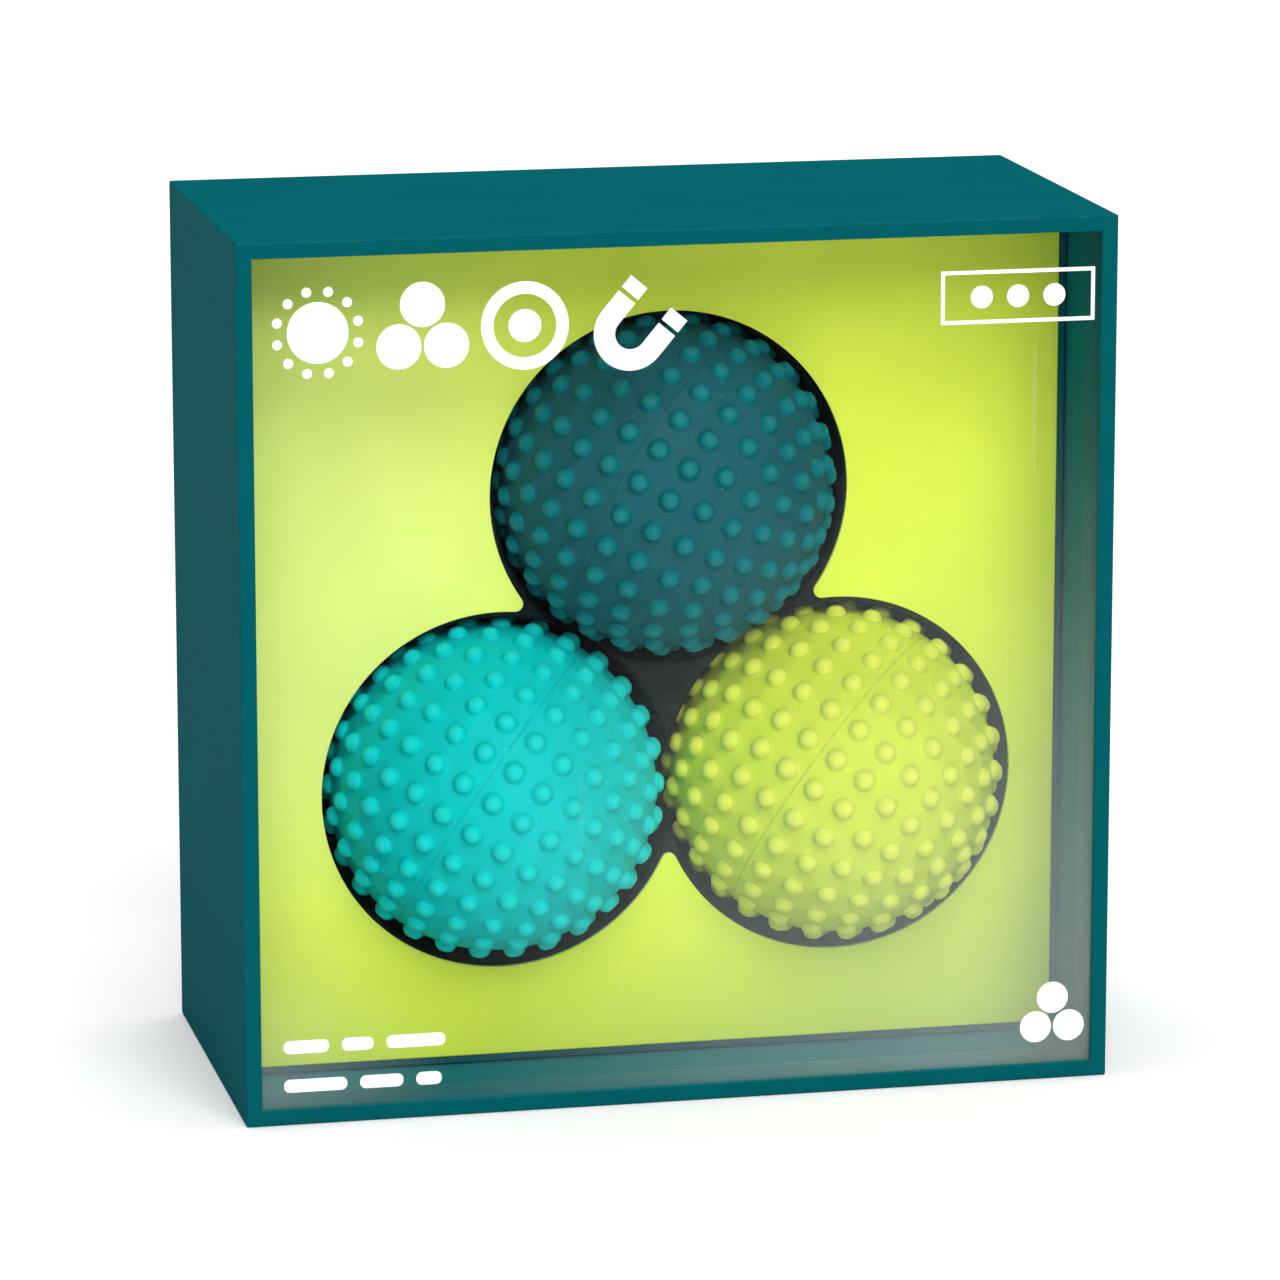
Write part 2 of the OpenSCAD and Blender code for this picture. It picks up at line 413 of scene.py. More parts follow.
def clear_film(name, glare_patches):
    """Clear film with a weak mirror, hair scratches, and painted reflection patches: place, near,
    far and weight.
    """
    recipe = Recipe(name)
    painted_glare = 0.0
    # Each patch is a whitish diffuse veil of painted reflection, fading out from its place
    for place, near, far, weight in glare_patches:
        glare_patch = recipe.remap(recipe.distance_to(place), near * MM, far * MM, weight, 0.0)
        painted_glare = recipe.maths("MAXIMUM", glare_patch, painted_glare)
    cloud = recipe.remap(recipe.noise(45, 2.0), 0.3, 0.7, 0.86, 1.0)
    scratch = recipe.remap(recipe.noise(900, 2.0, 0.5, (1.0, 1.0, 0.02)), 0.72, 0.76, 0.0, 0.03)
    glare_and_scratch = recipe.maths("ADD", recipe.maths("MULTIPLY", painted_glare, cloud), scratch)
    wave = recipe.bump(recipe.noise(40, 2.0), 0.25 * MM, 0.25)
    clear = recipe.add("ShaderNodeBsdfTransparent", {"Color": (0.99, 0.995, 0.993, 1.0)})
    mirror = recipe.add("ShaderNodeBsdfGlossy", {"Roughness": 0.12, "Normal": wave})
    fresnel = recipe.add("ShaderNodeFresnel", {"IOR": 1.09, "Normal": wave}).outputs[0]
    glazed = recipe.mix(fresnel, clear, mirror)
    # Whitish diffuse layer that carries the painted reflection and the hair scratches
    glare_layer = recipe.add("ShaderNodeBsdfDiffuse", {"Color": (0.86, 0.95, 0.96, 1.0)})
    return recipe.finish(recipe.mix(glare_and_scratch, glazed, glare_layer))


def film_return(place):
    """The film's glued returns: a faint whitish veil of painted reflection, palest round one
    place.
    """
    recipe = Recipe("window_film_return")
    # Painted reflection on the returns: strongest near one place, mottled by noise
    return_glare = recipe.remap(recipe.distance_to(place), 12 * MM, 95 * MM, 0.05, 0.01)
    glare_mottle = recipe.remap(recipe.noise(120, 4.0, 0.6, (1.0, 3.0, 1.0)), 0.35, 0.7, 0.75, 1.0)
    clear = recipe.add("ShaderNodeBsdfTransparent", {"Color": (0.97, 0.985, 0.98, 1.0)})
    glare_layer = recipe.add("ShaderNodeBsdfDiffuse", {"Color": (0.55, 0.78, 0.82, 1.0)})
    return recipe.finish(recipe.mix(recipe.maths("MULTIPLY", return_glare, glare_mottle), clear, glare_layer))


def white_ink(colour):
    """Screen-printed ink: satin, with a trace of orange peel."""
    recipe = Recipe("white_ink")
    peel = recipe.noise(2600, 2.0)
    tone = recipe.mottled(colour, recipe.noise(300, 3.0), 0.35, 0.7, 0.03)
    feeds = {"Base Color": tone, "Roughness": 0.42, "Normal": recipe.bump(peel, 0.01 * MM, 0.4)}
    return recipe.finish(recipe.add("ShaderNodeBsdfPrincipled", feeds))


def black_blister(colour):
    """Thin glossy black sheet, drawn over a mould: soft waves, hair scratches and dust."""
    recipe = Recipe("black_blister")
    wave = recipe.bump(recipe.noise(160, 2.0), 0.12 * MM, 0.5)
    scratch = recipe.noise(1400, 2.0, 0.5, (1.0, 0.05, 1.0))
    fine = recipe.bump(scratch, 0.004 * MM, 0.5, wave)
    tone = recipe.blend(
        recipe.remap(recipe.noise(240, 4.0), 0.35, 0.75), colour, lighter(colour, 0.02)
    )
    tone = recipe.blend(recipe.specks(900, 0.05, 0.25), tone, lighter(colour, 0.3))
    shader = recipe.add(
        "ShaderNodeBsdfPrincipled",
        {
            "Base Color": tone,
            "Roughness": recipe.remap(scratch, 0.3, 0.7, 0.3, 0.44),
            "Specular IOR Level": 0.06,
            "Normal": fine,
        },
    )
    return recipe.finish(shader)


def moulded_plastic(colour):
    """Natural ABS with a fine spark-eroded texture."""
    recipe = Recipe("core_plastic")
    spark = recipe.noise(3200, 4.0, 0.6)
    tone = recipe.mottled(colour, recipe.noise(150, 3.0), 0.3, 0.7, 0.05)
    feeds = {
        "Base Color": tone,
        "Roughness": recipe.remap(spark, 0.3, 0.7, 0.42, 0.58),
        "Normal": recipe.bump(spark, 0.015 * MM, 0.6),
    }
    return recipe.finish(recipe.add("ShaderNodeBsdfPrincipled", feeds))


def nickel_plate(colour):
    """Bright nickel plating with handling marks."""
    recipe = Recipe("nickel_magnet")
    marks = recipe.noise(520, 5.0, 0.7)
    feeds = {
        "Base Color": recipe.mottled(colour, marks, 0.4, 0.7, 0.08),
        "Metallic": 1.0,
        "Roughness": recipe.remap(marks, 0.3, 0.75, 0.1, 0.3),
        "Normal": recipe.bump(marks, 0.004 * MM, 0.4),
    }
    return recipe.finish(recipe.add("ShaderNodeBsdfPrincipled", feeds))


def studio_floor(colour):
    """Plain pale floor with the faintest mottle."""
    recipe = Recipe("studio_floor")
    tone = recipe.mottled(colour, recipe.noise(14, 2.0), 0.3, 0.7, 0.01)
    feeds = {"Base Color": tone, "Roughness": 0.85, "Specular IOR Level": 0.1}
    return recipe.finish(recipe.add("ShaderNodeBsdfPrincipled", feeds))


# ---- Mesh helpers ----


def block(low, high):
    """A bmesh box between two corners."""
    bm = bmesh.new()
    place = Matrix.LocRotScale((low + high) / 2, None, high - low)
    bmesh.ops.create_cube(bm, size=1.0, matrix=place)
    return bm


def faces_toward(bm, direction):
    """The faces that look in a direction."""
    bm.normal_update()
    return [face for face in bm.faces if face.normal.dot(direction) > 0.9]


def linked(items, kind):
    """The edges, faces or vertices of some items, each once and always in the same order."""
    return list(dict.fromkeys(other for item in items for other in getattr(item, kind)))


def round_edges(bm, edges, radius, steps, material=-1):
    """Rounds edges with an arc of the given radius, in a material of its own if one is given."""
    made = bmesh.ops.bevel(
        bm,
        geom=edges,
        offset=radius,
        offset_type="OFFSET",
        affect="EDGES",
        segments=steps,
        profile=0.5,
        material=-1,
        clamp_overlap=True,
    )
    if material >= 0:
        for face in made["faces"]:
            face.material_index = material


def fold_edges(bm, low, high, open_side):
    """The outer folds of an open box, apart from the cut edges round its open side."""

    def at_corner(vert):
        return all(
            min(abs(vert.co[i] - low[i]), abs(vert.co[i] - high[i])) < HAIR for i in range(3)
        )

    def at_opening(edge):
        return all(abs(vert.co.y - open_side) < HAIR for vert in edge.verts)

    return [e for e in bm.edges if all(map(at_corner, e.verts)) and not at_opening(e)]


def piece(name, bm, body, materials, nodes, crease=math.radians(35)):
    """Turns a bmesh into a piece that rides on a body and stands for CAD nodes."""
    bm.normal_update()
    for edge in bm.edges:
        edge.smooth = edge.calc_face_angle(0.0) < crease
    for face in bm.faces:
        face.smooth = True
    mesh = bpy.data.meshes.new(name)
    bm.to_mesh(mesh)
    bm.free()
    for material in materials:
        mesh.materials.append(material)
    made = bpy.data.objects.new(name, mesh)
    bpy.context.scene.collection.objects.link(made)
    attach(made, body)
    if nodes:
        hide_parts(*nodes)
    return made


def even_shading(made):
    """Keeps broad flat faces flat beside their rounded edges."""
    weighted = made.modifiers.new("Even shading", "WEIGHTED_NORMAL")
    weighted.keep_sharp = True


def arc(centre, radius, start, end, steps):
    """Points along an arc seen from the front, from one angle to another."""
    turn = (end - start) / steps
    return [
        Vector(
            (
                centre.x + radius * math.cos(start + turn * i),
                centre.y,
                centre.z + radius * math.sin(start + turn * i),
            )
        )
        for i in range(steps + 1)
    ]


def heading(start, end):
    """The angle of the line from one point to another, seen from the front."""
    return math.atan2(end.z - start.z, end.x - start.x)


def closed_loop(bm, points):
    """Vertices and edges round a closed outline."""
    verts = [bm.verts.new(point) for point in points]
    return [bm.edges.new((verts[i - 1], verts[i])) for i in range(len(verts))]


def rectangle(low, high, y):
    """The four corners of a rectangle seen from the front."""
    return [
        Vector((low.x, y, low.z)),
        Vector((high.x, y, low.z)),
        Vector((high.x, y, high.z)),
        Vector((low.x, y, high.z)),
    ]


def face_front(bm):
    """Turns a bmesh of open sheets so that its front looks out of the window."""
    bmesh.ops.recalc_face_normals(bm, faces=bm.faces[:])
    bm.normal_update()
    front = max(bm.faces, key=lambda face: abs(face.normal.y) * face.calc_area())
    if front.normal.y > 0:
        bmesh.ops.reverse_faces(bm, faces=bm.faces[:])


# ---- Box ----


def lid_bmesh(sizes):
    """The outer half: four walls and the frame round the window, folded from board."""
    board = PANE_LOW.y - LID_LOW.y
    bm = block(LID_LOW, LID_HIGH)
    bmesh.ops.delete(bm, geom=faces_toward(bm, -OUTWARD), context="FACES_ONLY")
    front = faces_toward(bm, OUTWARD)
    bmesh.ops.inset_region(bm, faces=front, thickness=sizes.border, use_even_offset=True)
    bmesh.ops.delete(bm, geom=front, context="FACES_ONLY")
    bmesh.ops.solidify(bm, geom=bm.faces[:], thickness=board)
    bm.normal_update()
    for face in bm.faces:
        middle = face.calc_center_median()
        if middle.y < PANE_LOW.y - HAIR and abs(face.normal.y) < 0.5:
            inside = min(middle.x - LID_LOW.x, LID_HIGH.x - middle.x) > board
            if inside and min(middle.z - LID_LOW.z, LID_HIGH.z - middle.z) > board:
                face.material_index = CUT
        elif abs(face.normal.y) < 0.5 and face.normal.dot(BOX_CENTRE - middle) > 0:
            face.material_index = INSIDE
    window = [
        edge
        for edge in bm.edges
        if len(edge.link_faces) == 2
        and {face.material_index for face in edge.link_faces} == {PRINTED, CUT}
        and all(abs(vert.co.y - LID_LOW.y) < HAIR for vert in edge.verts)
    ]
    round_edges(bm, window, sizes.cut_softness, 2)
    round_edges(bm, fold_edges(bm, LID_LOW, LID_HIGH, LID_HIGH.y), sizes.fold_radius, 3, FOLDED)
    return bm


def tray_bmesh(sizes):
    """The inner half: the back panel and four walls as far forward as the deck."""
    bm = block(TRAY_LOW, TRAY_HIGH)
    bmesh.ops.delete(bm, geom=faces_toward(bm, OUTWARD), context="FACES_ONLY")
    bmesh.ops.solidify(bm, geom=bm.faces[:], thickness=PANE_LOW.y - LID_LOW.y)
    folds = fold_edges(bm, TRAY_LOW, TRAY_HIGH, TRAY_LOW.y)
    round_edges(bm, folds, sizes.fold_radius, 3, FOLDED)
    return bm


def film_bmesh(sizes):
    """The clear film with its four glued returns."""
    glue = Vector((1, 1, 1)) * sizes.glue
    low, high = PANE_LOW + glue, PANE_HIGH - glue
    bm = block(low, high)
    bmesh.ops.delete(bm, geom=faces_toward(bm, -OUTWARD), context="FACES_ONLY")
    bmesh.ops.solidify(bm, geom=bm.faces[:], thickness=sizes.film)
    round_edges(bm, fold_edges(bm, low, high, high.y), sizes.film, 3)
    bm.normal_update()
    for face in bm.faces:
        if abs(face.normal.y) < 0.5:
            face.material_index = SECOND
    return bm


# ---- Window print ----

# Places and sizes of the print, in millimetres from the middle of the box's foot
SIGN_ROW = 79.9
DASH_ROWS = {7.2: (4.6, 3.2, 6.0), 3.2: (6.4, 4.4, 2.6)}
DASH_LEFT = -40.6
DASH_GAP = 1.3
DASH_HIGH = 1.35
DASH_CORNER = 0.6


def spot(x, z):
    """A place on the window, in millimetres across and up, as a matrix for flat shapes."""
    turned = Matrix.Rotation(math.pi / 2, 4, "X")
    return Matrix.Translation((x * MM, PANE_LOW.y, z * MM)) @ turned


def disc(bm, x, z, radius, sides=40):
    """A filled disc."""
    bmesh.ops.create_circle(
        bm, cap_ends=True, segments=sides, radius=radius * MM, matrix=spot(x, z)
    )


def ring(bm, x, z, outer, inner, sides=56):
    """A flat ring."""
    edges = []
    for radius in (outer, inner):
        made = bmesh.ops.create_circle(
            bm, cap_ends=False, segments=sides, radius=radius * MM, matrix=spot(x, z)
        )
        edges += linked(made["verts"], "link_edges")
    bmesh.ops.bridge_loops(bm, edges=edges)


def bar(bm, x, z, wide, high, corner=0.0):
    """A bar with round corners, given by its lower left corner."""
    place = spot(x + wide / 2, z + high / 2) @ Matrix.Diagonal((wide * MM, high * MM, 1, 1))
    made = bmesh.ops.create_grid(bm, x_segments=1, y_segments=1, size=0.5, matrix=place)
    if corner:
        bmesh.ops.bevel(
            bm,
            geom=made["verts"],
            offset=corner * MM,
            offset_type="OFFSET",
            affect="VERTICES",
            segments=6,
            profile=0.5,
            material=-1,
        )
    return made["verts"]


def horseshoe(bm, x, z, outer, inner, leg, turn):
    """A horseshoe magnet, leaning by a turn: x and z are the middle of its bend."""
    others = set(bm.verts)
    centre = spot(x, z).translation
    ends = [bm.verts.new(centre + Vector((r * MM, 0, 0))) for r in (inner, outer)]
    edge = bm.edges.new(ends)
    swept = bmesh.ops.spin(
        bm,
        geom=ends + [edge],
        cent=centre,
        axis=(0, 1, 0),
        angle=math.pi,
        steps=24,
        use_merge=False,
    )
    last = [e for e in swept["geom_last"] if isinstance(e, bmesh.types.BMEdge)]
    grown = bmesh.ops.extrude_edge_only(bm, edges=[edge] + last)["geom"]
    moved = [v for v in grown if isinstance(v, bmesh.types.BMVert)]
    bmesh.ops.translate(bm, verts=moved, vec=(0, 0, leg * MM))
    wide = outer - inner
    for left in (x - outer, x + inner):
        bar(bm, left, z + leg + 0.12 * outer, wide, 0.4 * outer)
    mine = [v for v in bm.verts if v not in others]
    bmesh.ops.rotate(bm, verts=mine, cent=centre, matrix=Matrix.Rotation(turn, 3, "Y"))


def print_bmesh(sizes):
    """All the white print: a row of round signs, a badge, two rows of dashes and a small sign."""
    bm = bmesh.new()
    nubbed_disc(bm, -36.4, SIGN_ROW, radius=3.05, reach=4.15, nub=0.5, nubs=12)
    cluster(bm, -26.0, SIGN_ROW - 0.3, radius=2.25)
    target_x = -15.8
    ring(bm, target_x, SIGN_ROW, outer=4.4, inner=3.15)
    disc(bm, target_x, SIGN_ROW, radius=1.65)
    lean = math.radians(40)
    horseshoe(bm, -5.2, SIGN_ROW - 1.2, outer=3.7, inner=1.55, leg=2.6, turn=lean)
    frame_line(bm, 26.4, 78.4, wide=15.9, high=5.4, line=0.4)
    for i in range(3):
        disc(bm, 30.6 + 3.75 * i, 81.1, radius=1.15, sides=28)
    for row, widths in DASH_ROWS.items():
        left = DASH_LEFT
        for wide in widths:
            bar(bm, left, row, wide, DASH_HIGH, DASH_CORNER)
            left += wide + DASH_GAP
    cluster(bm, 38.9, 6.4, radius=1.65)
    made = bmesh.ops.extrude_face_region(bm, geom=bm.faces[:])["geom"]
    moved = [v for v in made if isinstance(v, bmesh.types.BMVert)]
    bmesh.ops.translate(bm, verts=moved, vec=(0, -sizes.ink, 0))
    bmesh.ops.translate(bm, verts=bm.verts[:], vec=(0, sizes.glue + sizes.ink / 2, 0))
    bmesh.ops.recalc_face_normals(bm, faces=bm.faces[:])
    return bm


def nubbed_disc(bm, x, z, radius, reach, nub, nubs):
    """A disc with small discs round it, as a ball's nubs stand round its edge."""
    disc(bm, x, z, radius)
    for i in range(nubs):
        turn = math.tau * (i + 0.5) / nubs
        disc(bm, x + reach * math.cos(turn), z + reach * math.sin(turn), nub, sides=16)


def cluster(bm, x, z, radius):
    """Three discs that nearly touch, as the balls do."""
    reach = 1.22 * radius
    for turn in (90, 210, 330):
        lean = math.radians(turn)
        disc(bm, x + reach * math.cos(lean), z + reach * math.sin(lean), radius)


def frame_line(bm, x, z, wide, high, line):
    """A rectangle drawn as a line."""
    verts = bar(bm, x, z, wide, high)
    face = verts[0].link_faces[0]
    bmesh.ops.inset_region(
        bm, faces=[face], thickness=line * MM, use_even_offset=True, use_boundary=True
    )
    bmesh.ops.delete(bm, geom=[face], context="FACES_ONLY")


# ---- Deck ----

# Steps of the card's round cuts and points, and of the cups' rims, depth and turn
CUT_STEPS = 84
POINT_STEPS = 10
RIM_STEPS = 4
CUP_STEPS = 24
TURN_STEPS = 96


def trefoil(sizes, y):
    """The outline of the card's opening: three arcs joined by small rounded points."""
    order = [BALL_CENTRES[name] for name in ("top", "left", "right")]
    centres = []
    for centre in order:
        inward = (SET_CENTRE - centre).normalized() * sizes.cut_draw
        centres.append(Vector((centre.x + inward.x, y, centre.z + inward.z)))
    reach = sizes.cut_radius + sizes.point_radius
    points = []
    for i in range(3):
        before, here, after = centres[i - 1], centres[i], centres[(i + 1) % 3]
        turns = []
        for other in (before, after):
            half = (other - here).length / 2
            away = math.acos(half / reach)
            side = 1 if other is after else -1
            turns.append(heading(here, other) - side * away)
        start, end = turns
        while end < start:
            end += math.tau
        points += arc(here, sizes.cut_radius, start, end, CUT_STEPS)
        tip = here + Vector((math.cos(end), 0, math.sin(end))) * reach
        back = heading(tip, here)
        over = heading(tip, after)
        while over > back:
            over -= math.tau
        points += arc(tip, sizes.point_radius, back, over, POINT_STEPS)[1:-1]
    return points


def card_bmesh(sizes):
    """The lime card: a front panel with the opening, and sides folded back."""
    bm = bmesh.new()
    outer = closed_loop(bm, rectangle(CARD_LOW, CARD_HIGH, CARD_LOW.y))
    inner = closed_loop(bm, trefoil(sizes, CARD_LOW.y))
    bmesh.ops.triangle_fill(bm, use_beauty=True, edges=outer + inner, normal=OUTWARD)
    grown = bmesh.ops.extrude_edge_only(bm, edges=outer)["geom"]
    moved = [v for v in grown if isinstance(v, bmesh.types.BMVert)]
    bmesh.ops.translate(bm, verts=moved, vec=(0, CARD_HIGH.y - CARD_LOW.y, 0))
    face_front(bm)
    bmesh.ops.solidify(bm, geom=bm.faces[:], thickness=sizes.card)
    bm.normal_update()
    for face in bm.faces:
        middle = face.calc_center_median()
        if middle.y < CARD_LOW.y + sizes.card and abs(face.normal.y) < 0.5:
            if (middle - SET_CENTRE).xz.length < 2 * sizes.cut_radius + HAIR:
                if min(middle.x - CARD_LOW.x, CARD_HIGH.x - middle.x) > sizes.card:
                    face.material_index = SECOND
    rim = [
        edge
        for edge in bm.edges
        if {face.material_index for face in edge.link_faces} == {PRINTED, SECOND}
        and all(abs(vert.co.y - CARD_LOW.y) < HAIR for vert in edge.verts)
    ]
    round_edges(bm, rim, sizes.cut_softness, 2)
    round_edges(bm, fold_edges(bm, CARD_LOW, CARD_HIGH, CARD_HIGH.y), sizes.fold_radius, 3)
    return bm


def drawn_sheet(bm, radius, bend, flange_y):
    """One side of the blister: a flange and three cups that run into one another."""
    for name, centre in BALL_CENTRES.items():
        elbow = Vector((centre.x + radius + bend, flange_y + bend, 0))
        rim_turns = [math.pi / 2 * i / RIM_STEPS for i in range(RIM_STEPS + 1)]
        cup_turns = [math.pi / 2 * i / CUP_STEPS for i in range(CUP_STEPS + 1)]
        profile = [
            Vector((elbow.x - bend * math.sin(a), elbow.y - bend * math.cos(a), centre.z))
            for a in rim_turns
        ]
        profile += [
            Vector((centre.x + radius * math.cos(a), centre.y + radius * math.sin(a), centre.z))
            for a in cup_turns
        ]
        verts = [bm.verts.new(point) for point in profile]
        edges = [bm.edges.new(verts[i : i + 2]) for i in range(len(verts) - 1)]
        before = set(bm.verts) - set(verts)
        bmesh.ops.spin(
            bm,
            geom=verts + edges,
            cent=centre,
            axis=(0, 1, 0),
            angle=math.tau,
            steps=TURN_STEPS,
            use_merge=True,
        )
        for other_name, other in BALL_CENTRES.items():
            if other_name != name:
                mine = [v for v in bm.verts if v not in before]
                bmesh.ops.bisect_plane(
                    bm,
                    geom=mine + linked(mine, "link_edges") + linked(mine, "link_faces"),
                    dist=HAIR / 10,
                    plane_co=(centre + other) / 2,
                    plane_no=(other - centre).normalized(),
                    clear_outer=True,
                )
    bmesh.ops.remove_doubles(bm, verts=bm.verts[:], dist=HAIR)


def flange_fill(bm, flange_y):
    """Fills the flange from its outer rectangle to the cups, and the island between them."""
    open_edges = [
        e
        for e in bm.edges
        if e.is_boundary and all(abs(v.co.y - flange_y) < HAIR for v in e.verts)
    ]
    island_reach = 6 * MM
    rim, island = [], []
    for edge in open_edges:
        inner = (edge.verts[0].co - SET_CENTRE).xz.length < island_reach
        (island if inner else rim).append(edge)
    outline = closed_loop(bm, rectangle(BLISTER_LOW, BLISTER_HIGH, flange_y))
    bmesh.ops.triangle_fill(bm, use_beauty=True, edges=rim + outline, normal=OUTWARD)
    bmesh.ops.triangle_fill(bm, use_beauty=True, edges=island, normal=OUTWARD)
    return outline


def blister_bmesh(sizes):
    """The thermoformed sheet: its front, its back and the cut edge between them."""
    sides = []
    for depth in (0.0, sizes.blister):
        bm = bmesh.new()
        flange_y = BLISTER_LOW.y + depth
        drawn_sheet(bm, sizes.cup_radius + depth, sizes.rim_radius - depth, flange_y)
        flange_fill(bm, flange_y)
        mesh = bpy.data.meshes.new("side")
        bm.to_mesh(mesh)
        bm.free()
        sides.append(mesh)
    bm = bmesh.new()
    for mesh in sides:
        bm.from_mesh(mesh)
        bpy.data.meshes.remove(mesh)
    rims = [e for e in bm.edges if e.is_boundary]
    bmesh.ops.bridge_loops(bm, edges=rims)
    bmesh.ops.recalc_face_normals(bm, faces=bm.faces[:])
    return bm


# ---- Balls ----


def nub_directions(step):
    """The direction of every nub from the middle of a ball, with the mould axis upwards."""
    found = []
    for side in (1, -1):
        for k, count in enumerate(RING_NUBS):
            rise = min(math.pi / 2, step * (k + 0.5))
            for i in range(count):
                turn = math.tau * i / count
                flat = math.cos(rise)
                found.append(
                    Vector((flat * math.cos(turn), flat * math.sin(turn), side * math.sin(rise)))
                )
    return found


def round_face(face, direction, radius, reach):
    """Moves a face's corners to an even circle round a direction, on a sphere."""
    across = direction.orthogonal().normalized()
    along = direction.cross(across)
    verts = [loop.vert for loop in face.loops]
    count = len(verts)
    steps = [math.atan2(v.co.dot(along), v.co.dot(across)) for v in verts]
    lean_x = sum(math.cos(a - math.tau * i / count) for i, a in enumerate(steps))
    lean_y = sum(math.sin(a - math.tau * i / count) for i, a in enumerate(steps))
    start = math.atan2(lean_y, lean_x)
    dip = math.asin(radius / reach)
    for i, vert in enumerate(verts):
        turn = start + math.tau * i / count
        outward = across * math.cos(turn) + along * math.sin(turn)
        vert.co = (direction * math.cos(dip) + outward * math.sin(dip)) * reach


def ball_bmesh(sizes, name):
    """A ball's silicone skin, built in millimetres: nubs, a parting ridge and a hollow."""
    body = (sizes.radius - sizes.nub_height) / MM
    foot = sizes.foot_radius / MM
    directions = nub_directions(sizes.ring_step)
    bm = bmesh.new()
    for direction in directions:
        bm.verts.new(direction * body)
    bmesh.ops.convex_hull(bm, input=bm.verts[:])
    made = bmesh.ops.bevel(
        bm,
        geom=bm.verts[:],
        offset=NUB_CUT,
        offset_type="OFFSET",
        affect="VERTICES",
        segments=1,
        profile=0.5,
        material=-1,
        clamp_overlap=False,
    )
    nubs = made["faces"]
    for face in nubs:
        cuts = max(1, math.ceil(sizes.rounding / len(face.verts)) - 1)
        bmesh.ops.bisect_edges(bm, edges=face.edges[:], cuts=cuts)
    for face in nubs:
        middle = face.calc_center_median().normalized()
        direction = max(directions, key=middle.dot)
        round_face(face, direction, foot, body)
    draw_ridge(bm, set(nubs), body, sizes)
    between = [face for face in bm.faces if face not in set(nubs)]
    bmesh.ops.triangulate(bm, faces=between, quad_method="BEAUTY", ngon_method="BEAUTY")
    bmesh.ops.recalc_face_normals(bm, faces=bm.faces[:])
    draw_nubs(bm, nubs, body, foot, sizes.nub_height / MM)
    hollow = bmesh.ops.create_icosphere(bm, subdivisions=5, radius=body - sizes.skin / MM)
    bmesh.ops.reverse_faces(bm, faces=linked(hollow["verts"], "link_faces"))
    tilt, turn, spin = (math.radians(a) for a in BALL_TURNS[name])
    lean = Euler((0, tilt, turn)).to_matrix() @ Matrix.Rotation(spin, 3, "Z")
    place = Matrix.Translation(BALL_CENTRES[name]) @ lean.to_4x4() @ Matrix.Scale(MM, 4)
    bmesh.ops.transform(bm, matrix=place, verts=bm.verts[:])
    return bm


def draw_ridge(bm, nubs, body, sizes):
    """Cuts the skin beside the parting plane and lifts a low ridge along it."""
    half = sizes.ridge_width / MM
    for level in (-half, 0.0, half):
        skin = [face for face in bm.faces if face not in nubs]
        bmesh.ops.bisect_plane(
            bm,
            geom=linked(skin, "verts") + linked(skin, "edges") + skin,
            dist=SNAP / 10,
            plane_co=(0, 0, level),
            plane_no=(0, 0, 1),
        )
    for vert in bm.verts:
        if abs(vert.co.z) < half + SNAP:
            lift = sizes.ridge_height / MM if abs(vert.co.z) < SNAP else 0.0
            flat = math.sqrt((body + lift) ** 2 - vert.co.z**2)
            scale = flat / vert.co.xy.length
            vert.co.x *= scale
            vert.co.y *= scale


def draw_nubs(bm, nubs, body, foot, height):
    """Draws every nub up from its round foot: a short fillet, a side and a domed tip."""
    rise = height + body - math.sqrt(body**2 - foot**2)
    wide, high = foot, 0.0
    for share_wide, share_high in NUB_STEPS:
        sides = len(nubs[0].verts)
        bmesh.ops.inset_individual(
            bm,
            faces=nubs,
            thickness=(wide - share_wide * foot) * math.cos(math.pi / sides),
            depth=share_high * rise - high,
            use_even_offset=True,
        )
        wide, high = share_wide * foot, share_high * rise
    bmesh.ops.poke(bm, faces=nubs, offset=rise - high)


# ---- Operators ----

FLOOR_RADIUS = 6.0
FRONT_LIGHT_FROM = (0.04, -0.77, 0.64)
TOP_LIGHT_FROM = (0.0, 0.12, 1.0)


class MAGNET_OT_display_box(bpy.types.Operator):
    """Fold the two halves of the teal board box"""

    bl_idname = "magnet_balls.display_box"
    bl_label = "Display Box"

    def execute(self, context):
        sizes, colours = context.scene.box_sizes, context.scene.box_colours
        materials = [
            printed_sheet("teal_board", tuple(colours.board), 0.0, 0.46),
            printed_sheet("teal_board_fold", tuple(colours.board), 0.7, 0.4),
            printed_sheet("board_cut", tuple(colours.board_cut), 0.2, 0.7),
            # Painted light: the brighter teal of the shaded inside walls
            printed_sheet("board_inside", tuple(colours.board_inside), 0.0, 0.5),
        ]
        for name, bm, body, node in (
            ("lid_board", lid_bmesh(sizes), "lid_half", "lid_shell"),
            ("tray_board", tray_bmesh(sizes), "base_half", "base_tray"),
        ):
            even_shading(piece(name, bm, body, materials, [node]))
        return {"FINISHED"}


class MAGNET_OT_window(bpy.types.Operator):
    """Fit the clear film behind the frame and print on it"""

    bl_idname = "magnet_balls.window"
    bl_label = "Printed Window"

    def execute(self, context):
        sizes, colours = context.scene.box_sizes, context.scene.box_colours
        lower_right = (PANE_HIGH.x, PANE_LOW.y, PANE_LOW.z)
        lower_left = (PANE_LOW.x, PANE_LOW.y, PANE_LOW.z)
        # Painted reflection patches on the window, at its lower right and lower left
        glare_patches = ((lower_right, 2, 76, 0.1), (lower_left, 1, 24, 0.07))
        films = [clear_film("window_film", glare_patches), film_return(lower_right)]
        film = film_bmesh(sizes)
        even_shading(
            piece("window_sheet", film, "lid_half", films, ["window_pane"])
        )
        ink = white_ink(tuple(colours.ink))
        piece("window_print", print_bmesh(sizes), "lid_half", [ink], [])
        return {"FINISHED"}


